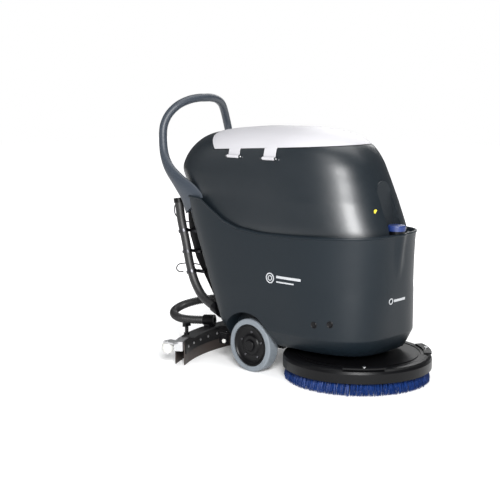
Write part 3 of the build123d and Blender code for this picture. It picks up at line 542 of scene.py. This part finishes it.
# The arch-shaped recess in the front, and the thin panel at its back.
ARCH_HALF, ARCH_Z, RECESS_X = 0.040, 0.687, 0.4625
arch_line = [(-ARCH_HALF, 0.52)]
arch_line += [(-ARCH_HALF * math.cos(a), ARCH_Z + ARCH_HALF * math.sin(a))
              for a in np.linspace(0, math.pi, 24)]
arch_line += [(ARCH_HALF, 0.52)]


def recess_x(start, z):
    """X in the shared frame at height z, on a plane that leans back with the tank's front."""
    return AXLE + (start - 0.13 * (z - 0.53))


recess = loft("recess_tool", [[(recess_x(RECESS_X, z), y, z) for y, z in arch_line],
                              [(AXLE + 0.600, y, z) for y, z in arch_line]], TANK)
combine(tank, recess, "DIFFERENCE")
plate = loft("tank_front_panel", [
    [(recess_x(start, z), y, max(z, 0.531)) for y, z in arch_line]
    for start in (RECESS_X - 0.005, RECESS_X)], TANK)
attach(plate, "machine")
for x in TAB_X:
    for low, high in ((x - 0.0385, x - 0.0305), (x + 0.0305, x + 0.0385)):
        length = high - low
        ear = drum("hinge_ear_%d" % round(1000 * low), (AXLE + low, HINGE_Y + 0.001, HINGE_Z),
                   (1, 0, 0),
                   [(0.0052, 0), (0.0062, 0.001), (0.0062, length - 0.001), (0.0052, length)],
                   TANK, 24)
        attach(ear, "machine")
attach(tank, "machine")
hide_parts("recovery_tank")

lid = dome("lid_skin", -0.0018, LID)
tabs = copy_of(lid, "lid_tabs")
combine(lid, dome("lid_inside", 0.006, LID), "DIFFERENCE")
combine(lid, lid_prism("lid_keep", 0.0), "INTERSECT")
combine(tabs, dome("tab_inside", 0.004, LID), "DIFFERENCE")
for x in TAB_X:
    tab = copy_of(tabs, "lid_tab_%d" % round(1000 * x))
    tab_box = block(AXLE + x - TAB_HALF, AXLE + x + TAB_HALF, -0.23, -0.140,
                    HINGE_Z - 0.0005, cut_height(x) + 0.002)
    combine(tab, tab_box, "INTERSECT")
    pin = drum("lid_pin_%d" % round(1000 * x), (AXLE + x - 0.039, HINGE_Y, HINGE_Z), (1, 0, 0),
               PIN_PROFILE, BRIGHT, 20)
    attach(pin, "machine")
    if x == TAB_X[0]:
        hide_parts("lid_pins")
    soften(tab, 0.0012, 2)
    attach(tab, "lid")
    knuckle = drum("lid_knuckle_%d" % round(1000 * x), (AXLE + x - TAB_HALF, HINGE_Y, HINGE_Z),
                   (1, 0, 0), KNUCKLE_PROFILE, LID, 24)
    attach(knuckle, "lid")
bpy.data.objects.remove(tabs)
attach(lid, "lid")
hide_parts("tank_lid")

seal = dome("seal_band", 0.0035, RUBBER)
combine(seal, dome("seal_inside", 0.009, RUBBER), "DIFFERENCE")
combine(seal, lid_prism("seal_keep", 0.009), "INTERSECT")
combine(seal, lid_prism("seal_cut", 0.0004), "DIFFERENCE")
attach(seal, "machine")
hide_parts("lid_seal")

# ---------------------------------------------------------------- handle
HANDLE_ROWS = [
    # x from the axle, y, height, half depth, half thickness
    (-0.292, 0.2030, 0.602, 0.062, 0.0165), (-0.325, 0.2070, 0.645, 0.047, 0.0175),
    (-0.378, 0.210, 0.690, 0.031, 0.0180), (-0.432, 0.2065, 0.736, 0.023, 0.0170),
    (-0.466, 0.200, 0.787, 0.0180, 0.0165), (-0.484, 0.190, 0.850, 0.016, 0.016),
    (-0.489, 0.179, 0.900, 0.016, 0.016), (-0.482, 0.158, 0.942, 0.016, 0.016),
    (-0.466, 0.125, 0.976, 0.016, 0.016), (-0.450, 0.080, 0.9965, 0.016, 0.016),
    (-0.4415, 0.035, 1.0040, 0.016, 0.016), (-0.440, 0.0, 1.0045, 0.016, 0.016),
]
mirrored = [(x, -y, z, a, b) for x, y, z, a, b in reversed(HANDLE_ROWS[:-1])]
LEAN = Vector((1, 0, 0.9))      # the direction in which the hoop's section is deep
path = smooth_rows(HANDLE_ROWS + mirrored, 7)
rings = []
for k, row in enumerate(path):
    before, after = path[max(k - 1, 0)], path[min(k + 1, len(path) - 1)]
    along = Vector(after[:3] - before[:3]).normalized()
    centre = Vector((AXLE + row[0], row[1], row[2]))
    upright = LEAN - along * LEAN.dot(along)
    upright.normalize()
    sideways = along.cross(upright)
    rings.append([centre + upright * (row[3] * c) + sideways * (row[4] * s)
                  for c, s in circle(28)])
handle = loft("handle_skin", rings, HANDLE, 60)
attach(handle, "machine")
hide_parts("handle_hoop")

# ---------------------------------------------------------------- control panel
CONSOLE_LINE = [
    (-0.358, 0.600), (-0.446, 0.712), (-0.446, 0.776), (-0.450, 0.782),
    (-0.462, 0.782), (-0.466, 0.776), (-0.466, 0.700), (-0.384, 0.600),
]
console = prism("control_console", [(AXLE + x, z) for x, z in CONSOLE_LINE], -0.058, 0.095, BLACK)
button_way = drum("button_way", (AXLE - 0.471, 0.030, 0.735), (1, 0, 0),
                  [(0.0100, 0), (0.0100, 0.024)], BLACK)
combine(console, button_way, "DIFFERENCE")
soften(console, 0.003, 3)
pivot = drum("lever_pivot", (AXLE - 0.456, 0.094, 0.745), (0, 1, 0),
             [(0.0040, 0), (0.0040, 0.0100), (0.0032, 0.0110), (0.0001, 0.0110)], STEEL, 24)
for piece in (console, pivot):
    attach(piece, "machine")
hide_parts("control_panel")

# ---------------------------------------------------------------- vacuum hose
HOSE_POINTS = [
    # x from the axle, y, height
    (-0.215, 0.092, 0.192), (-0.282, 0.094, 0.190), (-0.366, 0.104, 0.184),
    (-0.450, 0.094, 0.174), (-0.524, 0.050, 0.160), (-0.560, -0.024, 0.145),
    (-0.536, -0.102, 0.131), (-0.468, -0.138, 0.122), (-0.402, -0.122, 0.121),
    (-0.352, -0.100, 0.1245),
]
line = bpy.data.curves.new("hose_line", "CURVE")
line.dimensions = "3D"
spline = line.splines.new("NURBS")
spline.points.add(len(HOSE_POINTS) - 1)
for point, place in zip(spline.points, HOSE_POINTS):
    point.co = (AXLE + place[0], place[1], place[2], 1)
spline.order_u = 3
spline.use_endpoint_u = True
spline.resolution_u = 24
guide = bpy.data.objects.new("hose_line", line)
bpy.context.collection.objects.link(guide)
traced = bpy.data.meshes.new_from_object(guide)
hose_path = [Vector(v.co) for v in traced.vertices]
bpy.data.objects.remove(guide)


def resample(points, step):
    """Points about a step apart along a line, and the line's length."""
    lengths = [0.0]
    for a, b in zip(points, points[1:]):
        lengths.append(lengths[-1] + (b - a).length)
    out, total, k = [], lengths[-1], 0
    count = max(2, round(total / step))
    for s in range(count + 1):
        at = total * s / count
        while k < len(points) - 2 and lengths[k + 1] < at:
            k += 1
        part = (at - lengths[k]) / max(1e-9, lengths[k + 1] - lengths[k])
        out.append(points[k].lerp(points[k + 1], min(1.0, part)))
    return out, total


RINGS_PER_RIB = 4


def ribbed_tube(name, points, radius, pitch, depth, material, count=24):
    """A hose with rounded ribs along its path, and the path's length."""
    steps, total = resample(points, pitch / RINGS_PER_RIB)
    rings = []
    side = Vector((0, 0, 1))
    for k, centre in enumerate(steps):
        along = (steps[min(k + 1, len(steps) - 1)] - steps[max(k - 1, 0)]).normalized()
        side = (side - along * side.dot(along)).normalized()
        other = along.cross(side)
        r = radius - depth * (0.5 - 0.5 * math.cos(2 * math.pi * k / RINGS_PER_RIB))
        rings.append([centre + side * (r * c) + other * (r * s) for c, s in circle(count)])
    return loft(name, rings, material, 80), total


HOSE_RADIUS, RIB_PITCH, RIB_DEPTH = 0.017, 0.0075, 0.0028
hose, hose_length = ribbed_tube("vacuum_hose_tube", hose_path, HOSE_RADIUS, RIB_PITCH, RIB_DEPTH,
                                RUBBER)
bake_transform(hose)
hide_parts("vacuum_hose")

# ---------------------------------------------------------------- bristles
TRIANGLE = circle(3)
verts, faces = [], []


def strand(root, tip, lean, width):
    """One bristle: a three-sided tapering thread with a bend."""
    start = len(verts)
    direction = tip - root
    side = direction.cross(Vector((0.3, 0.2, 1))).normalized()
    other = direction.normalized().cross(side)
    for t, w in ((0.0, 1.0), (0.55, 0.9), (1.0, 0.6)):
        centre = root.lerp(tip, t) + lean * (t * (1 - t))
        for c, s in TRIANGLE:
            verts.append(centre + side * (width * w * c) + other * (width * w * s))
    for k in range(2):
        faces.extend(band(start + 3 * k, start + 3 * k + 3, 3))
    faces.append((start + 6, start + 7, start + 8))


BRUSH_X = AXLE + 0.336
ROOT_Z = 0.0475
FLARE_START, FLARE_LENGTH = 0.22, 0.0325    # the outer rows lean outwards more and more
STRAND_WIDTH = 0.00085
TUFT_ROWS = (
    # radius, tufts, threads in a tuft
    (0.128, 50, 5), (0.148, 56, 5), (0.168, 64, 5), (0.188, 72, 5), (0.206, 84, 6),
    (0.222, 100, 6), (0.236, 120, 8), (0.247, 150, 9), (0.2525, 170, 9),
)
for radius, tufts, threads in TUFT_ROWS:
    spread = 0.0 if radius < FLARE_START else (radius - FLARE_START) / FLARE_LENGTH
    for t in range(tufts):
        around = 2 * math.pi * (t + random.uniform(-0.2, 0.2)) / tufts
        for _ in range(threads):
            a = around + random.uniform(-0.5, 0.5) * 3.4 / tufts
            reach = radius + spread * random.uniform(0.004, 0.0145) + random.uniform(-0.003, 0.001)
            out = Vector((math.cos(a), math.sin(a), 0))
            sideways = Vector((-math.sin(a), math.cos(a), 0))
            root = Vector((BRUSH_X, 0, ROOT_Z)) + out * (radius + random.uniform(-0.003, 0.001))
            tip = Vector((BRUSH_X, 0, random.uniform(0.0004, 0.0040))) + out * reach
            tip += sideways * random.uniform(-0.006, 0.006)
            strand(root, tip, out * 0.010 * spread, STRAND_WIDTH)
brush = mesh_object("bristle_tufts", verts, faces, BLUE, 60)
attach(brush, "brush")
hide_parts("bristles")

# ---------------------------------------------------------------- wheels
HUB_PROFILE = [
    (0.0005, 0.0), (0.0795, 0.0), (0.0795, 0.0455), (0.0775, 0.0475), (0.0740, 0.0475),
    (0.0715, 0.0440), (0.0660, 0.0400), (0.0560, 0.0385), (0.0440, 0.0385), (0.0400, 0.0400),
    (0.0375, 0.0440), (0.0350, 0.0455), (0.0240, 0.0455), (0.0215, 0.0440), (0.0200, 0.0445),
    (0.0195, 0.0500), (0.0170, 0.0520), (0.0001, 0.0525),
]
STUD_PROFILE = [(0.0050, 0), (0.0050, 0.0030), (0.0040, 0.0042), (0.0001, 0.0044)]
STUDS, STUD_CIRCLE = 5, 0.050
for side, word in SIDES:
    hub = drum("hub_dish_" + word, (AXLE, side * 0.167, WHEEL_Z), (0, side, 0),
               HUB_PROFILE, BLACK, 96, 30)
    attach(hub, "wheel_" + word)
    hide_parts("hub_" + word)
    for k in range(STUDS):
        a = 2 * math.pi * k / STUDS + 0.3
        spot = (AXLE + STUD_CIRCLE * math.cos(a), side * 0.2045,
                WHEEL_Z + STUD_CIRCLE * math.sin(a))
        stud = drum("hub_stud_%s_%d" % (word, k), spot, (0, side, 0), STUD_PROFILE, STEEL, 18)
        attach(stud, "wheel_" + word)

# ---------------------------------------------------------------- squeegee rivets
RIVETS, RIVET_STEP = 11, 5.6            # degrees between rivets
BAR_CENTRE, BAR_RADIUS = Vector((AXLE + 0.287, 0, 0.068)), 0.6108
RIVET_PROFILE = [(0.0055, 0), (0.0055, 0.0012), (0.0040, 0.0024), (0.0001, 0.0028)]
for k in range(RIVETS):
    angle = math.radians(180 + (k - RIVETS // 2) * RIVET_STEP)
    out = Vector((-math.cos(angle), -math.sin(angle), 0))
    head = drum("strap_rivet_%d" % k, BAR_CENTRE - out * BAR_RADIUS, out,
                RIVET_PROFILE, BRIGHT, 20)
    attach(head, "squeegee")

# ---------------------------------------------------------------- stage and light
floor_mat = finish("floor_finish", (0.95, 0.95, 0.95), 0.85, grain=40, bump=0.02, vary=0.01)
FLOOR_REACH = 12
floor = mesh_object("floor", [(x * FLOOR_REACH, y * FLOOR_REACH, 0) for x, y in (
    (-1, -1), (1, -1), (1, 1), (-1, 1))], [(0, 1, 2, 3)], floor_mat)

# The floor glows more with its distance from the object, so that it fades into the backdrop.
floor_tree = floor_mat.node_tree
glow = floor_tree.nodes["Principled BSDF"]
glow.inputs["Emission Color"].default_value = (1.0, 1.0, 1.0, 1)
floor_coord = floor_tree.nodes.new("ShaderNodeTexCoord")
distance = floor_tree.nodes.new("ShaderNodeVectorMath")
distance.operation = "LENGTH"
fade = floor_tree.nodes.new("ShaderNodeMapRange")
fade.inputs["From Min"].default_value = 1.0
fade.inputs["From Max"].default_value = 3.2
fade.inputs["To Min"].default_value = 0.08
fade.inputs["To Max"].default_value = 1.0
floor_tree.links.new(floor_coord.outputs["Object"], distance.inputs[0])
floor_tree.links.new(distance.outputs["Value"], fade.inputs["Value"])
floor_tree.links.new(fade.outputs["Result"], glow.inputs["Emission Strength"])

# A white backdrop for the camera, and a dim pale sky for the light.
world = bpy.data.worlds.new("studio")
bpy.context.scene.world = world
world.use_nodes = True
sky = world.node_tree
dim = sky.nodes["Background"]
dim.inputs["Color"].default_value = (0.92, 0.96, 1.0, 1)
dim.inputs["Strength"].default_value = 0.15
backdrop = sky.nodes.new("ShaderNodeBackground")
backdrop.inputs["Color"].default_value = (1.0, 1.0, 1.0, 1)
ray = sky.nodes.new("ShaderNodeLightPath")
either = sky.nodes.new("ShaderNodeMixShader")
sky.links.new(ray.outputs["Is Camera Ray"], either.inputs[0])
sky.links.new(dim.outputs["Background"], either.inputs[1])
sky.links.new(backdrop.outputs["Background"], either.inputs[2])
sky.links.new(either.outputs["Shader"], sky.nodes["World Output"].inputs["Surface"])

LAMP_AIM = Vector((0, 0, 0.45))
LAMPS = (
    # name, place, size, power
    ("key", (2.8, -3.1, 2.1), 1.5, 350),
    ("side", (-2.8, -2.4, 2.4), 1.6, 10),
    ("top", (0.2, 0.6, 4.2), 3.5, 125),
    ("back", (-1.5, 3.2, 2.6), 1.8, 50),
)
for name, place, size, power in LAMPS:
    lamp_data = bpy.data.lights.new(name, "AREA")
    lamp_data.size = size
    lamp_data.energy = power
    lamp = bpy.data.objects.new(name, lamp_data)
    bpy.context.collection.objects.link(lamp)
    lamp.location = place
    lamp.rotation_euler = (LAMP_AIM - Vector(place)).to_track_quat("-Z", "Y").to_euler()

bpy.context.scene.view_settings.view_transform = "Standard"
